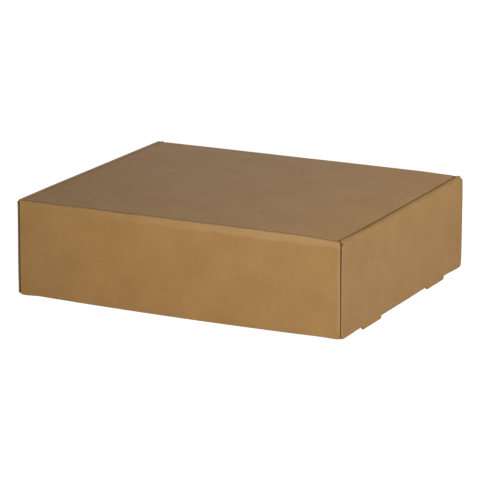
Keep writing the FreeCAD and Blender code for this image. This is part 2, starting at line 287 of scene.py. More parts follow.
class Sheet:
    """Panels of folded board, kept as points and faces until a mesh is made of them."""

    def __init__(self):
        self.index = {}
        self.places = []
        self.flats = []
        self.faces = []
        self.kinds = []
        self.borders = {}
        self.rims = {}

    def point(self, place, flat):
        self.places.append(np.array(place, float))
        self.flats.append(np.array(flat, float))
        return len(self.places) - 1

    def welded(self, place, flat):
        key = tuple(round(float(value), 3) + 0.0 for value in place)
        if key not in self.index:
            self.index[key] = self.point(place, flat)
        return self.index[key]

    def face(self, corners, kind):
        corners = [c for k, c in enumerate(corners) if c != corners[k - 1]]
        if len(set(corners)) >= 3:
            self.faces.append(corners)
            self.kinds.append(kind)

    def panel(self, outer, inner, flat, keep=None, flutes=0, row_depths=None, column_depths=None):
        """A grid of board. flutes is the grid direction, 0 or 1, in which they run. The
        two depths give that of cut edges on single rows or columns, 0 where meshes meet."""
        rows, columns = outer.shape[:2]
        if keep is None:
            keep = np.ones((rows - 1, columns - 1), bool)
        used = np.zeros((rows, columns), bool)
        for step_i in (0, 1):
            for step_j in (0, 1):
                used[step_i:rows - 1 + step_i, step_j:columns - 1 + step_j] |= keep
        front, rear = np.full((2, rows, columns), -1)
        for i, j in np.argwhere(used):
            front[i, j] = self.welded(outer[i, j], flat[i, j])
            rear[i, j] = self.welded(inner[i, j], flat[i, j])
        row_depths = {row % rows: depth for row, depth in (row_depths or {}).items()}
        column_depths = column_depths or {}
        for i, j in np.argwhere(keep):
            self.face([front[i, j], front[i + 1, j], front[i + 1, j + 1], front[i, j + 1]], LINER)
            self.face([rear[i, j], rear[i, j + 1], rear[i + 1, j + 1], rear[i + 1, j]], LINER)
            for step in ((-1, 0), (1, 0), (0, -1), (0, 1)):
                beside = (i + step[0], j + step[1])
                inside = 0 <= beside[0] < rows - 1 and 0 <= beside[1] < columns - 1
                if inside and keep[beside]:
                    continue
                if step[0]:
                    line = i + (step[0] > 0)
                    behind = i + (step[0] < 0)
                    ends = [((line, j + k), (behind, j + k)) for k in (0, 1)]
                    depth = row_depths.get(line, CLOSED_DEPTH if flutes == 1 else OPEN_DEPTH)
                else:
                    line = j + (step[1] > 0)
                    behind = j + (step[1] < 0)
                    ends = [((i + k, line), (i + k, behind)) for k in (0, 1)]
                    depth = column_depths.get(line, CLOSED_DEPTH if flutes == 0 else OPEN_DEPTH)
                border = [(front[at], rear[at], unit(outer[back] - outer[at]))
                          for at, back in ends]
                key = frozenset(end[0] for end in border)
                self.borders.setdefault(key, []).append((border, depth))

    def cut_borders(self):
        return [found[0] for found in self.borders.values() if len(found) == 1]

    def rim(self, front, rear):
        """The six points across a cut edge at one place, out, in, along the core and back."""
        if front not in self.rims:
            outer = self.places[front]
            inner = self.places[rear]
            inset = sum((way * depth for way, depth in self.ways[front]), np.zeros(3))
            flat = self.flats[front]
            lip = (inner - outer) * LINER_SHARE
            ids = [front, self.point(outer + lip, flat)]
            ids.append(self.point(outer + lip + inset, flat) if np.any(inset) else ids[1])
            far_lip = self.point(inner - lip, flat)
            ids.append(self.point(inner - lip + inset, flat) if np.any(inset) else far_lip)
            ids += [far_lip, rear]
            self.rims[front] = ids
        return self.rims[front]

    def close(self):
        """Closes every cut edge, and puts the medium into those that cross the flutes."""
        self.ways = {}
        for border, depth in self.cut_borders():
            for front, rear, way in border:
                known = self.ways.setdefault(front, [])
                if all(float(way @ other) < 0.9 for other, size in known):
                    known.append((way, depth))
        for border, depth in self.cut_borders():
            first = self.rim(*border[0][:2])
            second = self.rim(*border[1][:2])
            inside = MEDIUM if depth == OPEN_DEPTH else CUT_EDGE
            for k, kind in enumerate((CUT_EDGE, inside, inside, inside, CUT_EDGE)):
                self.face([first[k], first[k + 1], second[k + 1], second[k]], kind)
        self.flute_all()

    def flute_all(self):
        """Finds the chains of open cut edges and fills each with a wavy ribbon."""
        beside = {}
        for border, depth in self.cut_borders():
            if depth == OPEN_DEPTH:
                first, second = border
                beside.setdefault(first[0], []).append((second, first))
                beside.setdefault(second[0], []).append((first, second))
        starts = [at for at, others in beside.items() if len(others) == 1]
        seen = set()
        for start in starts:
            if start in seen:
                continue
            here = beside[start][0][1]
            chain = [here]
            seen.add(start)
            while True:
                following = [other for other, own in beside[here[0]] if other[0] not in seen]
                if not following:
                    break
                here = following[0]
                seen.add(here[0])
                chain.append(here)
            self.ribbon(chain)

    def ribbon(self, chain):
        """The medium of one open edge: a wave of thin paper from the cut into the board."""
        fronts = np.array([self.places[front] for front, rear, way in chain])
        rears = np.array([self.places[rear] for front, rear, way in chain])
        ways = np.array([way for front, rear, way in chain])
        flats = np.array([self.flats[front] for front, rear, way in chain])
        steps = np.linalg.norm(np.diff(fronts, axis=0), axis=1)
        along = np.concatenate([[0.0], np.cumsum(steps)])
        count = max(4, int(along[-1] / FLUTE_PITCH * FLUTE_STEPS))
        samples = np.linspace(RIBBON_END, along[-1] - RIBBON_END, count)
        phase = flats[0][1] * 2 * math.pi / FLUTE_PITCH
        height = BOARD * (0.5 - LINER_SHARE) - MEDIUM_THICK * MEDIUM_CLEAR
        rows = []
        for at in samples:
            front, rear, way, flat = [
                np.array([np.interp(at, along, values[:, k]) for k in range(3)])
                for values in (fronts, rears, ways, flats)]
            across = unit(rear - front)
            way = unit(way)
            wave = height * math.sin(phase + at * 2 * math.pi / FLUTE_PITCH)
            slope = height * 2 * math.pi / FLUTE_PITCH
            slope *= math.cos(phase + at * 2 * math.pi / FLUTE_PITCH)
            half = MEDIUM_THICK / 2 * math.sqrt(1 + slope * slope) * MEDIUM_SLACK
            middle = (front + rear) / 2 + across * wave
            row = [middle + across * half * side + way * depth for side, depth in
                   ((1, RIBBON_FRONT), (-1, RIBBON_FRONT), (-1, RIBBON_BACK), (1, RIBBON_BACK))]
            rows.append([self.point(place, flat) for place in row])
        for first, second in zip(rows, rows[1:]):
            for k in range(4):
                n = (k + 1) % 4
                self.face([first[k], first[n], second[n], second[k]], MEDIUM)
        self.face(rows[0][::-1], MEDIUM)
        self.face(rows[-1], MEDIUM)


print("an open edge shows a flute every", FLUTE_PITCH, "mm")

# %% [markdown]
# ## Sweeping a section along lines
#
# A section stands in one of three planes, and the lines give the third coordinate. The
# place on the flat sheet is kept with each point. The paper's grain follows it, as it was
# printed on the sheet by the paper machine before anything was folded.

# %% Sweep a section into a grid
def sweep(section, lines, plane):
    """Grids (section point, line) of outer, inner and flat places. plane is XZ, YZ or XY."""
    outer, inner, flat = np.zeros((3, len(section.outer), len(lines), 3))
    first, second, third = {"XZ": (0, 2, 1), "YZ": (1, 2, 0), "XY": (0, 1, 2)}[plane]
    for grid, points in ((outer, section.outer), (inner, section.inner)):
        points = np.array(points)
        grid[:, :, first] = points[:, None, 0]
        grid[:, :, second] = points[:, None, 1]
        grid[:, :, third] = np.array(lines)[None, :]
    along = np.array(section.along)[:, None]
    if plane == "YZ":
        flat[:, :, 0] = np.array(lines)[None, :]
        flat[:, :, 1] = along
    else:
        flat[:, :, 0] = along
        flat[:, :, 1] = np.array(lines)[None, :]
    flat[:, :, 2] = np.array(section.fold)[:, None]
    return outer, inner, flat


def flipped(grids, axis, sign):
    """The same grids, mirrored in place and on the flat sheet when sign is -1."""
    outer, inner, flat = [grid.copy() for grid in grids]
    outer[:, :, axis] *= sign
    inner[:, :, axis] *= sign
    flat[:, :, min(axis, 1)] *= sign
    return outer, inner, flat


def within(lines, low, high):
    """Which gaps between lines lie between low and high."""
    middles = (lines[:-1] + lines[1:]) / 2
    return (middles > low) & (middles < high)


def inside(lines, half):
    return lines[np.abs(lines) <= half + 0.01]


def taper(values, tip, reach):
    """How far a flap's edges are cut in, up to reach at its tip."""
    return reach * np.clip((tip + reach - values) / reach, 0, 1)


def at_feet(lines, half):
    return np.any([within(lines, c - half, c + half) for c in FOOT_CENTRES], axis=0)


def smooth(low, high, value):
    """0 below low, 1 above high and an S-curve between."""
    share = np.clip((value - low) / (high - low), 0.0, 1.0)
    return share * share * (3 - 2 * share)


# %% [markdown]
# ## The base and the rolled side walls
#
# A side wall is rolled: the outer ply goes up, the ridge goes over, and the inner ply
# comes down again with the dust flaps held between them. The feet are tongues cut out of
# the base. They stay in line with the outer ply, and leave the slots for the lock tabs.

# %% Base, side walls, feet and lock tabs
def add_base(sheet):
    flat_end = (SIDE - OUTER_BEND, OUTER_PLY_IN - INNER_BEND)
    right = Section((0, UNDERSIDE), (0, FLOOR_TOP))
    for x in X_LINES[X_LINES > 0]:
        right.add((x, UNDERSIDE), (x, FLOOR_TOP))
    right.add((flat_end[0], UNDERSIDE), (flat_end[1], FLOOR_TOP))
    right.turn((SIDE - OUTER_BEND, UNDERSIDE + OUTER_BEND),
               (OUTER_PLY_IN - INNER_BEND, FLOOR_TOP + INNER_BEND), -90, 0)
    lines = inside(Y_LINES, BASE_END)
    beyond_slot = np.array([p[0] for p in right.outer[:-1]]) >= SLOT_IN - 0.01
    keep = ~(beyond_slot[:, None] & at_feet(lines, FOOT_HALF)[None, :])
    for sign in (1, -1):
        sheet.panel(*flipped(sweep(right, lines, "XZ"), 0, sign), keep=keep)
    return right.along[-1]


def add_side_walls(sheet, start):
    ply = Section((SIDE, UNDERSIDE + OUTER_BEND), (OUTER_PLY_IN, FLOOR_TOP + INNER_BEND), start)
    ply.run((SIDE, RIDGE_TOP - OUTER_BEND), (OUTER_PLY_IN, RIDGE_UNDER - INNER_BEND), (1, 2.5, 6))
    roll = Section(ply.outer[-1], ply.inner[-1], ply.along[-1])
    roll.turn((SIDE - OUTER_BEND, RIDGE_TOP - OUTER_BEND),
              (OUTER_PLY_IN - INNER_BEND, RIDGE_UNDER - INNER_BEND), 0, 90)
    roll.run((INNER_PLY_IN + OUTER_BEND, RIDGE_TOP), (INNER_PLY_OUT + INNER_BEND, RIDGE_UNDER),
             (0.6,))
    roll.turn((INNER_PLY_IN + OUTER_BEND, RIDGE_TOP - OUTER_BEND),
              (INNER_PLY_OUT + INNER_BEND, RIDGE_UNDER - INNER_BEND), 90, 180)
    roll.run((INNER_PLY_IN, INNER_PLY_END), (INNER_PLY_OUT, INNER_PLY_END))
    short = inside(Y_LINES, BASE_END)
    for sign in (1, -1):
        sheet.panel(*flipped(sweep(ply, Y_LINES, "XZ"), 0, sign))
        sheet.panel(*flipped(sweep(roll, short, "XZ"), 0, sign))
    return roll.along[-1]


def add_tongues(sheet, top_out, top_in, x_out, x_in, tip, half, along):
    """Feet or lock tabs: they go on straight down, a little narrower at the tip."""
    tongue = Section((x_out, top_out), (x_in, top_in), along)
    tongue.add((x_out, UNDERSIDE), (x_in, UNDERSIDE))
    tongue.run((x_out, tip), (x_in, tip), ())
    for centre in FOOT_CENTRES:
        lines = Y_LINES[np.abs(Y_LINES - centre) <= half + 0.01]
        grids = sweep(tongue, lines, "XZ")
        for grid in grids[:2]:
            below = np.clip((UNDERSIDE - grid[:, :, 2]) / UNDERSIDE, 0, 1)
            grid[:, :, 1] = centre + (grid[:, :, 1] - centre) * (1 - FOOT_SLANT / half * below)
        for sign in (1, -1):
            sheet.panel(*flipped(grids, 0, sign))


# %% [markdown]
# ## End walls, corner folds and dust flaps
#
# The rear wall stands on the base's end fold. Its upright edges turn the corner and go on
# as dust flaps between the plies of the side walls. The front wall is the same, but it
# ends in a cut edge under the lid. Mirroring one corner makes all four.

# %% End walls and dust flaps
def wall_section(top):
    """An end wall from the base's end upwards, seen along the hinge."""
    wall = Section((BASE_END, UNDERSIDE), (BASE_END, FLOOR_TOP), BASE_END)
    wall.turn((END - OUTER_BEND, UNDERSIDE + OUTER_BEND),
              (WALL_IN - INNER_BEND, FLOOR_TOP + INNER_BEND), -90, 0)
    for z in spread([FLOOR_TOP + INNER_BEND, FLAP_LOW, 7.5, FLAP_HIGH, 76.0, top]):
        if z > FLOOR_TOP + INNER_BEND:
            wall.add((END, z), (WALL_IN, z))
    return wall


def add_end_walls(sheet):
    tops = {-1: LID_TOP - SEAM, 1: FRONT_TOP}
    for sign, top in tops.items():
        wall = wall_section(top)
        lines = inside(X_LINES, WALL_FLAT)
        outer, inner, flat = sweep(wall, lines, "YZ")
        risen = smooth(UNDERSIDE, STRIP_LOW, outer[:, :, 2]) * (np.abs(lines) >= WALL_FLAT - 0.01)
        inner[:, :, 0] -= np.sign(lines) * risen * (WALL_FLAT - FLAP_IN + INNER_BEND)
        grids = flipped((outer, inner, flat), 1, sign)
        sheet.panel(*grids, flutes=1, row_depths={-1: 0.0} if sign < 0 else None)
        add_dust_flaps(sheet, wall, sign)


def add_dust_flaps(sheet, wall, sign):
    """Both corner folds of an end wall and the flaps that they lead into."""
    heights = np.array([p[1] for p in wall.outer])
    lines = spread([z for z in heights if STRIP_LOW - 0.01 < z < STRIP_HIGH] + [STRIP_HIGH])
    flap = Section((WALL_FLAT, END), (FLAP_IN - INNER_BEND, WALL_IN), WALL_FLAT)
    flap.turn((WALL_FLAT, END - OUTER_BEND), (FLAP_IN - INNER_BEND, WALL_IN - INNER_BEND), 90, 0)
    strip_rows = len(flap.outer) - 1
    flap.run((FLAP_OUT, FLAP_END + FLAP_TAPER), (FLAP_IN, FLAP_END + FLAP_TAPER))
    flap.run((FLAP_OUT, FLAP_END), (FLAP_IN, FLAP_END), ())
    outer, inner, flat = sweep(flap, lines, "XY")
    inner[:, 0, 2] = FLOOR_TOP + INNER_BEND
    flat[:, :, 1] = np.interp(lines, heights, wall.along)[None, :]
    middle = (FLAP_LOW + FLAP_HIGH) / 2
    for grid in (outer, inner):
        cut = taper(grid[:, :, 1], FLAP_END, FLAP_TAPER)
        grid[:, :, 2] = middle + (grid[:, :, 2] - middle) * (1 - cut / (middle - FLAP_LOW))
    rows = np.arange(len(flap.outer) - 1) >= strip_rows
    keep = ~(rows[:, None] & ~within(lines, FLAP_LOW, FLAP_HIGH)[None, :])
    for side in (1, -1):
        grids = flipped(flipped((outer, inner, flat), 1, sign), 0, side)
        sheet.panel(*grids, keep=keep, row_depths={0: 0.0, strip_rows: CLOSED_DEPTH})


tray_sheet = Sheet()
side_start = add_base(tray_sheet)
roll_end = add_side_walls(tray_sheet, side_start)
add_tongues(tray_sheet, UNDERSIDE + OUTER_BEND, FLOOR_TOP + INNER_BEND, SIDE, OUTER_PLY_IN,
            0.0, FOOT_HALF, side_start)
add_tongues(tray_sheet, INNER_PLY_END, INNER_PLY_END, INNER_PLY_IN, INNER_PLY_OUT,
            TAB_TIP, TAB_HALF, roll_end)
add_end_walls(tray_sheet)
tray_sheet.close()
print("tray:", len(tray_sheet.places), "points,", len(tray_sheet.faces), "faces")

# %% [markdown]
# ## The lid
#
# The top panel ends in a crease on three sides: two wings drop inside the side walls, and
# the tuck flap drops inside the front wall. It leans a little, as a tucked flap does. Its
# corners are notched so that the wings and the flap can fold past each other.

# %% Top panel, wings and tuck flap
def crease_section():
    """From just below the rear crease, round it, to just behind it on the lid."""
    crease = Section((-END, LID_TOP - SEAM), (-WALL_IN, LID_TOP - SEAM), crease_start, -1.0)
    low = LID_UNDER - INNER_BEND
    for z in (LID_TOP - 2.3, STRIP_HIGH, LID_TOP - OUTER_BEND):
        near_fold = smooth(LID_TOP - SEAM, LID_TOP - OUTER_BEND, z) * 0.3
        crease.add((-END, z), (-WALL_IN, min(z, low)), near_fold)
    crease.turn((OUTER_BEND - END, LID_TOP - OUTER_BEND), (INNER_BEND - WALL_IN, low),
                180, 90, steps=10)
    crease.add((-WALL_IN, LID_TOP), (-WALL_IN + 0.2, LID_UNDER), 0.2)
    crease.add((LIP_END, LID_TOP), (LIP_END, LID_UNDER), 0.1)
    crease.add((SEAM - END, LID_TOP), (SEAM - END, LID_UNDER))
    return crease


def add_crease(sheet):
    crease = crease_section()
    lines = spread(list(X_LINES) + both_signs([FLAP_OUT]))
    outer, inner, flat = sweep(crease, lines, "YZ")
    rows = len(crease.outer)
    heights = np.array([p[1] for p in crease.outer])
    depths = np.array([p[0] for p in crease.outer])
    keep = np.zeros((rows - 1, len(lines) - 1), bool)
    for row in range(rows - 1):
        half = FLAP_OUT
        if heights[row + 1] <= STRIP_HIGH + 0.01:
            half = WALL_FLAT
        elif depths[row] >= LIP_END - 0.01:
            half = LID_SIDE
        keep[row] = within(lines, -half, half)
    at_strips = np.flatnonzero(np.abs(np.abs(lines) - WALL_FLAT) < 0.01)
    sheet.panel(outer, inner, flat, keep=keep, flutes=1, row_depths={0: 0.0, -1: 0.0},
                column_depths={column: 0.0 for column in at_strips})
    return crease.along[-1]


def add_top_panel(sheet, start):
    """The lid's flat panel, as wide as the wings' folds leave it, and its four side tabs."""
    panel = Section((SEAM - END, LID_TOP), (SEAM - END, LID_UNDER), start, -1.0)
    for y in spread([SEAM - END, -119.0, -WING_END, WING_END, PANEL_FRONT])[1:]:
        panel.add((y, LID_TOP), (y, LID_UNDER))
    lines = inside(X_LINES, LID_SIDE)
    outer, inner, flat = sweep(panel, lines, "YZ")
    at_fold = np.abs(np.abs(lines) - WING_IN) < 0.01
    outer[:, at_fold, 0] = np.sign(lines[at_fold]) * (LID_SIDE - WING_BEND)
    inner[:, at_fold, 0] = np.sign(lines[at_fold]) * (WING_IN - INNER_BEND)
    y_middles = (outer[:-1, 0, 1] + outer[1:, 0, 1]) / 2
    keep = within(lines, -WING_IN, WING_IN)[None, :] | (np.abs(y_middles) > WING_END)[:, None]
    sheet.panel(outer, inner, flat, keep=keep, flutes=1, row_depths={0: 0.0})
    return panel


def add_wings(sheet, panel):
    wing = Section((LID_SIDE - WING_BEND, LID_TOP), (WING_IN - INNER_BEND, LID_UNDER), WING_IN)
    wing.turn((LID_SIDE - WING_BEND, LID_TOP - WING_BEND),
              (WING_IN - INNER_BEND, LID_UNDER - INNER_BEND), 90, 0, outer_radius=WING_BEND)
    wing.run((LID_SIDE, WING_LOW + WING_TAPER), (WING_IN, WING_LOW + WING_TAPER))
    wing.run((LID_SIDE, WING_LOW), (WING_IN, WING_LOW), ())
    depths = np.array([p[0] for p in panel.outer])
    lines = inside(depths, WING_END)
    outer, inner, flat = sweep(wing, lines, "XZ")
    flat[:, :, 1] = np.interp(lines, depths, panel.along)[None, :]
    for grid in (outer, inner):
        cut = taper(grid[:, :, 2], WING_LOW, WING_TAPER)
        grid[:, :, 1] *= 1 - cut / WING_END
    for sign in (1, -1):
        sheet.panel(*flipped((outer, inner, flat), 0, sign))


def add_tuck_flap(sheet, start):
    sine = math.sin(TUCK_LEAN)
    cosine = math.cos(TUCK_LEAN)
    half_turn = math.tan((TUCK_LEAN + math.pi / 2) / 2)
    depth = LID_TOP - TUCK_TIP
    tip = np.array([LID_FRONT - depth * math.tan(TUCK_LEAN), TUCK_TIP])
    thick = np.array([-BOARD * cosine, BOARD * sine])
    inner_corner = np.array([LID_FRONT - BOARD * half_turn, LID_UNDER])
    inner_centre = inner_corner - INNER_BEND * np.array([half_turn, 1.0])
    outer_centre = (LID_FRONT - OUTER_BEND * half_turn, LID_TOP - OUTER_BEND)
    flap = Section((PANEL_FRONT, LID_TOP), (PANEL_FRONT, LID_UNDER), start, -1.0)
    flap.turn(outer_centre, inner_centre, 90, -math.degrees(TUCK_LEAN))
    back_up = np.array([math.tan(TUCK_LEAN), 1.0]) * TUCK_TAPER
    flap.run(tip + back_up, tip + back_up + thick)
    flap.run(tip, tip + thick, ())
    lines = inside(X_LINES, TUCK_SIDE)
    outer, inner, flat = sweep(flap, lines, "YZ")
    for grid in (outer, inner):
        cut = taper(grid[:, :, 2], TUCK_TIP, TUCK_TAPER)
        grid[:, :, 0] *= 1 - cut / TUCK_SIDE
    sheet.panel(outer, inner, flat, flutes=1)


crease_start = -wall_section(LID_TOP - SEAM).along[-1]
crease_sheet = Sheet()
lid_start = add_crease(crease_sheet)
crease_sheet.close()
lid_sheet = Sheet()
top_panel = add_top_panel(lid_sheet, lid_start)
add_wings(lid_sheet, top_panel)
add_tuck_flap(lid_sheet, top_panel.along[-1])
lid_sheet.close()
print("lid:", len(lid_sheet.places), "points,", len(lid_sheet.faces), "faces")
print("crease:", len(crease_sheet.places), "points,", len(crease_sheet.faces), "faces")

# %% [markdown]
# ## Small faults of a folded box
#
# No real box is flat and square to the tenth of a millimetre. Panels bow, folds wander,
# the rolled ridges sag between their ends and the corners are pressed soft. One function
# moves every point by its place alone, so neighbouring panels stay together. The left
# ridge rises almost to the lid's top. Everything else moves inwards or down, so the box
# keeps its overall size.

# %% Bows, dents and soft corners
RIDGE_SAG = ((-122.5, 0.5), (-95.0, 1.1), (-68.0, 1.7), (-20.0, 1.4), (40.0, 1.2),
             (64.0, 1.0), (95.0, 0.8), (122.5, -0.1))
LEFT_RIDGE_RISE = 0.95              # the other ridge stands up almost to the lid's top
LID_EDGE_DROP = 1.2                 # the lid's right edge is pressed down beside its ridge
SOFT_RIDGE_PLACE = 32.0             # where a ridge's outer fold is pressed round
SOFT_RIDGE_REACH = 24.0
SOFT_RIDGE_DROP = 1.0
RIDGE_TILT = 0.5                    # a ridge's outer fold lies this much lower
SHOULDER_SLOPE = 0.6
CREASE_PUSH = 0.8                   # the rear crease lies this much further in, at its right
BASE_SAG = 2.0
WALL_FOOT_SAG = 1.0                 # the side walls' lower edges hang this much between the feet
WALL_BOW = 0.35
TOP_SAG = 0.12
DENT = 0.12
LEFT_END_BACK = 0.15                # the left wall's rear end stands back from the corner
LEFT_END_LEAN = 0.6                 # and leans inwards at its top
CORNER_GAP = 0.5                    # the corner fold leans away from the wall's end
NEAR_SETTLE = 0.7                   # the lower corners hang: near right, far right, both left
FAR_SETTLE = 1.4
LEFT_SETTLE = 1.3
TOP_FROM = 79.0                     # the height from which the top's corners are pressed
LID_EDGE_FROM = 105.0               # the lid's pressed edge begins this far to the right
RIGHT_REAR_DROP = 0.3               # the lid's rear corners lie this much lower
LEFT_REAR_DROP = 0.2
FAR_END_FROM = 115.0                # the right wall's far end is pressed in beyond this,
FAR_END_LEAN = 0.9                  # over its upper part,
FAR_TOP_ROUND = 1.5                 # more at its ridge
FAR_LOW_ROUND = 1.2                 # and again at its foot


def dents(a, b, seed, size):
    """A smooth uneven field of 0 to DENT, from a few slanting waves."""
    waves = np.random.default_rng(seed)
    total = np.zeros_like(a)
    for k in range(6):
        angle = waves.uniform(0, 2 * math.pi)
        length = size * waves.uniform(0.6, 1.8)
        phase = waves.uniform(0, 2 * math.pi)
        total += np.sin((a * math.cos(angle) + b * math.sin(angle)) * 2 * math.pi / length + phase)
    return (np.clip(total / 3.2, -1.0, 1.0) + 1.0) / 2 * DENT


def warped(points):
    """Every point of the folded sheet, with the faults of a real box."""
    p = points.copy()
    x, y, z = points.T
    far_x = np.abs(x)
    far_y = np.abs(y)
    side_wall = smooth(LID_SIDE + 0.2, INNER_PLY_IN, far_x)
    end_wall = smooth(END - 6.0, WALL_IN, far_y)
    upper = smooth(70.0, RIDGE_TOP, z)

    sag = np.interp(y, *np.array(RIDGE_SAG).T)
    soft = SOFT_RIDGE_DROP * np.exp(-((y - SOFT_RIDGE_PLACE) / SOFT_RIDGE_REACH) ** 2)
    outwards = np.clip((far_x - INNER_PLY_IN) / (SIDE - INNER_PLY_IN), 0, 1)
    right_drop = sag + (soft + RIDGE_TILT) * outwards ** 2
    crease_end = (far_x > LID_SIDE) & (far_x < FLAP_OUT + 0.1) & (y < LIP_END + 0.1)
    ridge = side_wall * upper * np.where(crease_end, 0.0, 1.0)
    p[:, 2] -= ridge * np.where(x > 0, right_drop, -LEFT_RIDGE_RISE)
    shoulder = smooth(RIDGE_TOP - 4.0, RIDGE_TOP, z) * outwards ** 2 * (x > 0)
    p[:, 0] -= side_wall * SHOULDER_SLOPE * shoulder

    at_crease = smooth(74.0, LID_TOP - 1.0, z) * (1 - smooth(-END + 3.0, -END + 20.0, y))
    pushed = smooth(-70.0, 40.0, x) * (1 - smooth(100.0, 146.0, x))
    p[:, 1] += CREASE_PUSH * at_crease * pushed * (1 - side_wall)

    hollow = np.cos(np.clip(x / WALL_FLAT, -1, 1) * math.pi / 2)
    height = np.sin(np.clip(z / LID_TOP, 0, 1) * math.pi)
    p[:, 1] -= np.sign(y) * end_wall * WALL_BOW * hollow * height
    across = np.cos(np.clip(y / END, -1, 1) * math.pi / 2)
    p[:, 0] -= np.sign(x) * side_wall * WALL_BOW * across * height
    low_part = (1 - smooth(3.0, 30.0, z)) * np.clip(z / UNDERSIDE, 0, 1)
    at_rim = np.maximum(smooth(LID_SIDE - 60.0, LID_SIDE, far_x), smooth(END - 60.0, END, far_y))
    sag_shape = 0.5 + 0.5 * at_rim
    p[:, 2] -= BASE_SAG * hollow ** 0.6 * sag_shape * low_part * (1 - side_wall)
    p[:, 2] -= WALL_FOOT_SAG * across * low_part * side_wall
    on_lid = smooth(LID_UNDER - 4.0, LID_UNDER, z) * (1 - side_wall)
    lid_part = smooth(TOP_FROM, LID_UNDER, z) * np.where(crease_end, 1.0, 1 - side_wall)
    p[:, 2] -= (lid_part * LID_EDGE_DROP * smooth(LID_EDGE_FROM, LID_SIDE, x)
                * (1 - 0.4 * smooth(40.0, END, y)))
    p[:, 2] -= on_lid * TOP_SAG * hollow * across

    p[:, 1] -= np.sign(y) * end_wall * dents(x, z + y, 5, 70.0) * height
    p[:, 0] -= np.sign(x) * side_wall * dents(y, z, 9, 60.0) * height
    p[:, 2] -= on_lid * dents(x, y, 3, 80.0)

    rear = (1 - smooth(-END + 3.5, -END + 6.0, y)) * smooth(TOP_FROM, LID_TOP, z)
    p[:, 2] -= rear * RIGHT_REAR_DROP * smooth(141.0, FLAP_OUT, x)
    p[:, 2] -= rear * LEFT_REAR_DROP * smooth(142.0, FLAP_OUT, -x)
    settle = np.where(x < 0, LEFT_SETTLE, np.where(y < 0, NEAR_SETTLE, FAR_SETTLE))
    at_corner = smooth(128.0, 147.0, far_x) * smooth(86.0, 120.0, far_y)
    p[:, 2] -= settle * at_corner * (1 - smooth(3.0, 14.0, z))

    at_ridge = np.clip((z - TOP_FROM) / (RIDGE_TOP - TOP_FROM), 0, 1) ** 2
    top_cut = FAR_END_LEAN * smooth(64.0, 80.0, z) + FAR_TOP_ROUND * at_ridge
    low_cut = FAR_LOW_ROUND * np.clip((10.5 - z) / 6.5, 0, 1)
    outer_ply = smooth(FLAP_OUT, OUTER_PLY_IN, far_x)
    share = np.clip((far_y - FAR_END_FROM) / (SIDE_END - FAR_END_FROM), 0, 1)
    at_front_right = (y > 0) & (x > 0) & (z > UNDERSIDE - 0.1)
    p[:, 1] -= outer_ply * share * (top_cut + low_cut) * at_front_right
    p[:, 1] += outer_ply * share * (y < 0) * (x < 0) * LEFT_END_BACK
    left_end = (x < 0) * (1 - smooth(-END, -60.0, y))
    p[:, 0] += LEFT_END_LEAN * left_end * side_wall * smooth(20.0, 80.0, z)
    corner = 0.35 * smooth(WALL_FLAT - 8.0, WALL_FLAT, x) + 0.65 * smooth(WALL_FLAT, FLAP_OUT, x)
    corner *= (x < OUTER_PLY_IN - 0.1) * (1 - smooth(-124.0, -122.4, y))
    p[:, 0] -= corner * CORNER_GAP * (0.15 + 0.85 * smooth(10.0, 78.0, z))
    return p


print("ridges sag up to", max(s for y, s in RIDGE_SAG), "mm, panels bow", WALL_BOW, "mm")

# %% [markdown]
# ## From points to pieces
#
# The points go to metres here. Four values travel with each of them: the place on the flat
# sheet, for the paper's grain, how near a fold it is, for worn creases and some painted
# shade on them, how much painted shade darkens it in the gaps, and how much painted
# highlight it gets on the upright corner folds. Normals are made to point out of every
# closed shell, and only cut edges stay sharp.

# %% Make a mesh from a sheet
SHARP_ANGLE = math.radians(38)
SHADE_LEFT_END = 0.55                # how strongly painted shade darkens the left wall's rear end,
SHADE_IN_GAP = 0.5                   # between a corner fold and its side wall,
SHADE_BESIDE_LID = 0.38              # in the gaps beside the lid
SHADE_FAR_FOLD = 0.3                 # and along the tuck flap's fold


def painted_shade(points):
    """Painted shade in the gaps, from 0 to 1, by each point's place."""
    x, y, z = points.T
    far_x = np.abs(x)
    left_end = smooth(OUTER_PLY_IN - 0.3, OUTER_PLY_IN, -x)
    left_end *= 1 - smooth(-END + 0.8, -END + 2.5, y)
    in_gap = smooth(FLAP_OUT - 0.5, FLAP_OUT - 0.05, far_x) * (far_x < FLAP_OUT + 0.1)
    in_gap *= smooth(-END + 0.8, -END + 1.2, y) * (1 - smooth(-END + 4.0, -END + 8.0, y))
    beside_lid = smooth(LID_SIDE - 0.3, LID_SIDE - 0.05, far_x)
    beside_lid *= 1 - smooth(INNER_PLY_IN + 0.3, INNER_PLY_IN + 1.1, far_x)
    beside_lid *= smooth(RIDGE_TOP - 3.0, RIDGE_TOP - 2.0, z) * (y > LIP_END - 0.1)
    beside_lid *= 1 - smooth(LID_TOP - 0.45, LID_TOP - 0.15, z)
    far_fold = smooth(PANEL_FRONT, LID_FRONT - 0.6, y) * smooth(LID_TOP - 2.5, LID_TOP - 1.5, z)
    far_fold *= far_x < LID_SIDE + 0.1
    shade_total = SHADE_LEFT_END * left_end + SHADE_IN_GAP * in_gap + SHADE_BESIDE_LID * beside_lid
    return np.clip(shade_total + SHADE_FAR_FOLD * far_fold, 0, 1)


def corner_highlight(points):
    """How much painted highlight the upright folds at the rear corners get, from 0 to 1."""
    x, y, z = points.T
    far_x = np.abs(x)
    on_fold = smooth(WALL_FLAT - 0.05, WALL_FLAT + 0.1, far_x) * (far_x < FLAP_OUT + 0.1)
    on_fold *= 1 - smooth(-END + 0.3, -END + 0.6, y)
    return on_fold * smooth(5.0, 12.0, z) * (1 - smooth(TOP_FROM, 82.0, z))


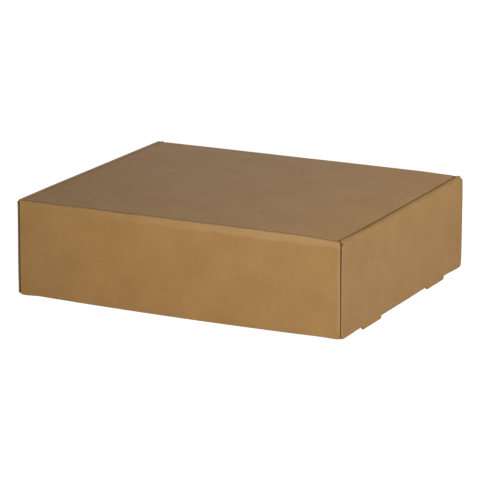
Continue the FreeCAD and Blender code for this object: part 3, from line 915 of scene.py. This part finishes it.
def make_piece(name, sheet, materials):
    mesh = bpy.data.meshes.new(name)
    folded = np.array(sheet.places)
    places = warped(folded) / MM_PER_M
    mesh.from_pydata(places.tolist(), [], [list(map(int, f)) for f in sheet.faces])
    mesh.update()
    flats = np.array(sheet.flats)
    sheet_place = mesh.attributes.new("sheet_place", "FLOAT_VECTOR", "POINT")
    sheet_place.data.foreach_set("vector", (flats * [1, 1, 0]).astype(np.float32).ravel())
    # The gaps' painted shade and the corner folds' painted highlight travel with the points.
    shares = {"fold": flats[:, 2], "painted_shade": painted_shade(folded), "fold_paling": corner_highlight(folded)}
    for attribute, share in shares.items():
        values = mesh.attributes.new(attribute, "FLOAT", "POINT")
        values.data.foreach_set("value", share.astype(np.float32))
    for material in materials:
        mesh.materials.append(material)
    mesh.polygons.foreach_set("material_index", sheet.kinds)
    work = bmesh.new()
    work.from_mesh(mesh)
    bmesh.ops.recalc_face_normals(work, faces=work.faces)
    open_edges = sum(1 for edge in work.edges if len(edge.link_faces) != 2)
    work.to_mesh(mesh)
    work.free()
    mesh.polygons.foreach_set("use_smooth", [True] * len(mesh.polygons))
    mesh.set_sharp_from_angle(angle=SHARP_ANGLE)
    print(name, len(mesh.polygons), "faces,", open_edges, "open edges")
    return new_object(name, mesh)


# %% [markdown]
# ## Kraft paper
#
# The liner is unbleached brown paper. It has soft clouds where the pulp is thicker, short
# dark and light fibres that lie along the paper's run, and a faint washboard from the
# flutes below. Noise on the flat sheet's coordinates gives all of it, at real sizes in
# millimetres. Along folds the paper is stretched and rubbed, with dark patches that are
# partly crushed creases and partly painted shade. A pale band below the rear crease is a
# painted highlight, brighter towards the right, and the dark line along that crease is
# partly painted shade. The upright rear corners get a painted highlight, and painted shade
# darkens the gaps.

# %% Node helpers
def srgb(red, green, blue):
    """A colour given as 0 to 255 on screen, as the linear numbers that Blender wants."""
    values = [v / 255 for v in (red, green, blue)]
    linear = [v / 12.92 if v <= 0.04045 else ((v + 0.055) / 1.055) ** 2.4 for v in values]
    return (*linear, 1.0)


class Nodes:
    """Short calls that add nodes to one material and link them."""

    def __init__(self, name):
        self.material = bpy.data.materials.new(name)
        self.material.use_nodes = True
        self.tree = self.material.node_tree
        self.shader = self.tree.nodes["Principled BSDF"]

    def add(self, kind, **inputs):
        return self.fill(self.tree.nodes.new(kind), **inputs)

    def fill(self, node, **inputs):
        """Sets or links sockets by name, with an underscore for each space."""
        for name, value in inputs.items():
            self.put(node.inputs[name.replace("_", " ")], value)
        return node

    def put(self, socket, value):
        if isinstance(value, bpy.types.NodeSocket):
            self.tree.links.new(value, socket)
        else:
            socket.default_value = value

    def math(self, operation, first, second=0.0):
        node = self.tree.nodes.new("ShaderNodeMath")
        node.operation = operation
        self.put(node.inputs[0], first)
        self.put(node.inputs[1], second)
        return node.outputs[0]

    def times(self, first, second):
        return self.math("MULTIPLY", first, second)

    def noise(self, place, scale, detail=2.0, roughness=0.5, stretch=(1, 1, 1)):
        mapping = self.add("ShaderNodeMapping", Vector=place, Scale=stretch)
        noise = self.add("ShaderNodeTexNoise", Vector=mapping.outputs[0], Scale=scale,
                         Detail=detail, Roughness=roughness)
        return noise.outputs["Fac"]

    def steps(self, value, low, high, start=0.0, finish=1.0):
        """Maps low to high of a value onto start to finish, clamped."""
        node = self.add("ShaderNodeMapRange", Value=value, From_Min=low, From_Max=high,
                        To_Min=start, To_Max=finish)
        return node.outputs["Result"]

    def mix(self, share, first, second):
        node = self.tree.nodes.new("ShaderNodeMix")
        node.data_type = "RGBA"
        return self.fill(node, Factor=share, A=first, B=second).outputs["Result"]

    def attribute(self, name, output):
        node = self.tree.nodes.new("ShaderNodeAttribute")
        node.attribute_name = name
        return node.outputs[output]


# %% The liner
KRAFT = srgb(167, 127, 73)
KRAFT_DEEP = srgb(158, 118, 65)
KRAFT_PALE = srgb(177, 137, 83)
FIBRE_DARK = srgb(122, 87, 45)
FOLD_DARK = srgb(104, 72, 38)
FOLD_PALE = srgb(190, 156, 108)
# The colour of the painted shade in the gaps.
PAINTED_SHADE_BROWN = srgb(84, 60, 36)
CREASE_HIGHLIGHT_BAND = 0.34                    # strength of the painted highlight band beside the rear crease,
WORN_FOLDS = 0.2                    # of rubbed folds, and of pressed folds whose dark is partly painted shade
PRESSED_SHADED_FOLDS = 0.3
CORNER_HIGHLIGHT = 0.6                # and of the painted highlight on the upright corners

# Noise scale, detail, roughness and stretch, its range, the layer's strength and its paint
LAYERS = {
    "clouds": (0.03, 3.0, 0.55, (1.0, 1.0, 1.0), 0.32, 0.68, 1.0, KRAFT),
    "blotches": (0.28, 3.0, 0.6, (1.0, 0.6, 1.0), 0.45, 0.75, 0.28, KRAFT_PALE),
    "shreds": (0.55, 2.0, 0.5, (1.0, 0.28, 1.0), 0.66, 0.78, 0.16, FIBRE_DARK),
    "fibres": (2.6, 2.0, 0.6, (1.0, 0.16, 1.0), 0.58, 0.80, 0.24, FIBRE_DARK),
    "pale fibres": (3.4, 2.0, 0.6, (0.9, 0.2, 1.0), 0.60, 0.80, 0.22, KRAFT_PALE)}


def make_kraft():
    """Brown liner paper. Its coordinates are millimetres on the flat sheet."""
    n = Nodes("kraft_liner")
    place = n.attribute("sheet_place", "Vector")
    fold = n.attribute("fold", "Fac")

    colour = KRAFT_DEEP
    noises = {}
    for layer, (scale, detail, roughness, stretch, low, high, share, paint) in LAYERS.items():
        noises[layer] = n.noise(place, scale, detail, roughness, stretch)
        colour = n.mix(n.steps(noises[layer], low, high, 0.0, share), colour, paint)

    # A pale band below the rear crease: a painted highlight, brighter towards the right.
    along = n.add("ShaderNodeSeparateXYZ", Vector=place)
    wander = n.steps(n.noise(place, 0.07, 2.0), 0.3, 0.7, -1.6, 1.6)
    above = n.math("SUBTRACT", crease_start + SEAM, along.outputs["Y"])
    height = n.math("ADD", above, wander)
    band = n.times(n.steps(height, -2.0, 0.5), n.steps(height, 7.5, 5.5))
    band = n.times(band, n.steps(along.outputs["X"], -90.0, 60.0, 0.15, 1.0))
    colour = n.mix(n.times(band, CREASE_HIGHLIGHT_BAND), colour, FOLD_PALE)
    # A dark line along the rear crease: partly a crease mark, partly painted shade on the fold's
    # upper part.
    line = n.times(n.steps(above, 5.3, 5.7), n.steps(above, 7.2, 6.6))
    line = n.times(line, n.steps(n.noise(place, 0.11, 3.0), 0.3, 0.5, 0.45, 0.8))
    colour = n.mix(line, colour, FOLD_DARK)

    fold_paling = n.times(n.steps(fold, 0.0, 0.45), n.noise(place, 0.5, 2.0))
    colour = n.mix(n.times(fold_paling, WORN_FOLDS), colour, FOLD_PALE)
    # Dark patches on folds: partly crushed creases, partly painted shade on the rounded ridges.
    patches = n.steps(n.noise(place, 0.12, 3.0), 0.4, 0.6)
    pressed_shaded = n.times(n.steps(fold, 0.5, 0.85), patches)
    colour = n.mix(n.times(pressed_shaded, PRESSED_SHADED_FOLDS), colour, FOLD_DARK)
    # Painted highlight on the upright folds of the rear corners.
    corners = n.times(n.attribute("fold_paling", "Fac"), CORNER_HIGHLIGHT)
    colour = n.mix(corners, colour, FOLD_PALE)
    # Painted shade in the gaps beside the lid, the corner folds and the left wall's rear end.
    colour = n.mix(n.attribute("painted_shade", "Fac"), colour, PAINTED_SHADE_BROWN)
    sheen = n.steps(n.noise(place, 0.2, 2.0), 0.3, 0.7, 0.62, 0.74)

    washboard = n.math("SINE", n.times(along.outputs["Y"], 2 * math.pi / FLUTE_PITCH))
    grain = n.noise(place, 4.5, detail=3.0, roughness=0.65, stretch=(1.0, 0.5, 1.0))
    height = n.math("ADD", n.times(washboard, 0.035), n.times(grain, 0.10))
    height = n.math("ADD", height, n.times(noises["fibres"], 0.06))
    bump = n.add("ShaderNodeBump", Strength=0.35, Distance=0.0006, Height=height)
    n.fill(n.shader, Base_Color=colour, Roughness=sheen, Specular_IOR_Level=0.4,
           Normal=bump.outputs["Normal"])
    return n.material


# %% Cut edges and the medium
EDGE_PALE = srgb(186, 152, 112)
EDGE_DEEP = srgb(150, 114, 76)
MEDIUM_COLOUR = srgb(146, 108, 70)
MEDIUM_DEEP = srgb(104, 72, 44)


def make_paper_edge(name, first, second, grain):
    """Torn fibres of a cut edge, or the rough medium between the liners."""
    n = Nodes(name)
    place = n.attribute("sheet_place", "Vector")
    fuzz = n.noise(place, grain, detail=3.0, roughness=0.7)
    colour = n.mix(n.steps(fuzz, 0.3, 0.7), first, second)
    # The painted shade of the gaps reaches the cut edges too.
    colour = n.mix(n.attribute("painted_shade", "Fac"), colour, PAINTED_SHADE_BROWN)
    bump = n.add("ShaderNodeBump", Strength=0.4, Distance=0.0004, Height=fuzz)
    n.fill(n.shader, Base_Color=colour, Roughness=0.88, Specular_IOR_Level=0.3,
           Normal=bump.outputs["Normal"])
    return n.material


paper = [make_kraft(), make_paper_edge("cut_edge", EDGE_PALE, EDGE_DEEP, 2.2),
         make_paper_edge("medium", MEDIUM_COLOUR, MEDIUM_DEEP, 1.4)]
print("materials:", [material.name for material in paper])

# %% [markdown]
# ## Put the pieces on their bodies
#
# The folded tray and lid stand for the frame's solids. The rear crease is a strip of its
# own, which stays where it is made.

# %% Ride and replace
tray = make_piece("folded_tray", tray_sheet, paper)
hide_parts("tray")
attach(tray, "tray")

lid = make_piece("folded_lid", lid_sheet, paper)
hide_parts("lid")
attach(lid, "lid")

crease = make_piece("rear_crease", crease_sheet, paper)
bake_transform(crease)

# %% [markdown]
# ## Floor, light and background
#
# The box stands on a pale sweep that the camera sees as white. Two soft lamps light the two
# upright faces that the camera sees, one from behind the camera and one from the right. A
# weak one behind the box puts a pale sheen on the far half of the lid, as a white wall
# there would. The floor keeps a trace of the box's shadow.

# %% Floor and world
FLOOR_SIZE = 6.0
FLOOR_SHARE = 0.10                  # how much of the floor's own shading the camera sees
FLOOR_GREY = 0.86
FLOOR_GLOW = 1.12
ROOM = 0.03                         # how bright the room is for everything but the camera


def camera_like(tree):
    """1 for rays that should see the white background, 0 for those that carry light."""
    path = tree.nodes.new("ShaderNodeLightPath")
    seen = path.outputs["Is Camera Ray"]
    for ray in ("Is Transmission Ray", "Is Glossy Ray"):
        either = tree.nodes.new("ShaderNodeMath")
        either.operation = "MAXIMUM"
        tree.links.new(seen, either.inputs[0])
        tree.links.new(path.outputs[ray], either.inputs[1])
        seen = either.outputs[0]
    return seen


def show(tree, share, hidden, shown, output):
    """Mixes two shaders, so that the camera sees the share of the second one."""
    mix = tree.nodes.new("ShaderNodeMixShader")
    for socket, source in zip(mix.inputs, (share, hidden.outputs[0], shown.outputs[0])):
        tree.links.new(source, socket)
    tree.links.new(mix.outputs[0], tree.nodes[output].inputs["Surface"])


def make_floor():
    mesh = bpy.data.meshes.new("floor")
    half = FLOOR_SIZE / 2
    mesh.from_pydata([(-half, -half, 0), (half, -half, 0), (half, half, 0), (-half, half, 0)],
                     [], [(0, 1, 2, 3)])
    floor = new_object("floor", mesh)
    n = Nodes("floor_paint")
    n.fill(n.shader, Base_Color=(FLOOR_GREY, FLOOR_GREY, FLOOR_GREY, 1.0), Roughness=0.9)
    glow = n.add("ShaderNodeEmission", Strength=FLOOR_GLOW)
    share = n.times(camera_like(n.tree), 1.0 - FLOOR_SHARE)
    show(n.tree, share, n.shader, glow, "Material Output")
    mesh.materials.append(n.material)


def make_world():
    world = bpy.data.worlds.new("room")
    bpy.context.scene.world = world
    world.use_nodes = True
    tree = world.node_tree
    seen = tree.nodes["Background"]
    room = tree.nodes.new("ShaderNodeBackground")
    for background, strength in ((seen, 1.0), (room, ROOM)):
        background.inputs["Color"].default_value = (1, 1, 1, 1)
        background.inputs["Strength"].default_value = strength
    show(tree, camera_like(tree), room, seen, "World Output")


make_floor()
make_world()

# %% Lamps
TARGET = Vector((0.0, 0.0, 0.04))


def add_lamp(name, azimuth, elevation, distance, size, power):
    """A square soft lamp that looks at the middle of the box."""
    data = bpy.data.lights.new(name, "AREA")
    data.size = size
    data.energy = power
    lamp = new_object(name, data)
    back = direction_back(azimuth, elevation)
    lamp.location = TARGET + back * distance
    aim(lamp, back)
    print(name, "at", [round(v, 2) for v in lamp.location], power, "W")


add_lamp("front_lamp", 14, 10, 0.84, 0.28, 3.45)
add_lamp("side_lamp", 92.5, 34.4, 0.75, 0.4, 2.85)
add_lamp("back_lamp", 203, 20, 0.42, 0.3, 0.16)

scene = bpy.context.scene
scene.view_settings.view_transform = "Standard"
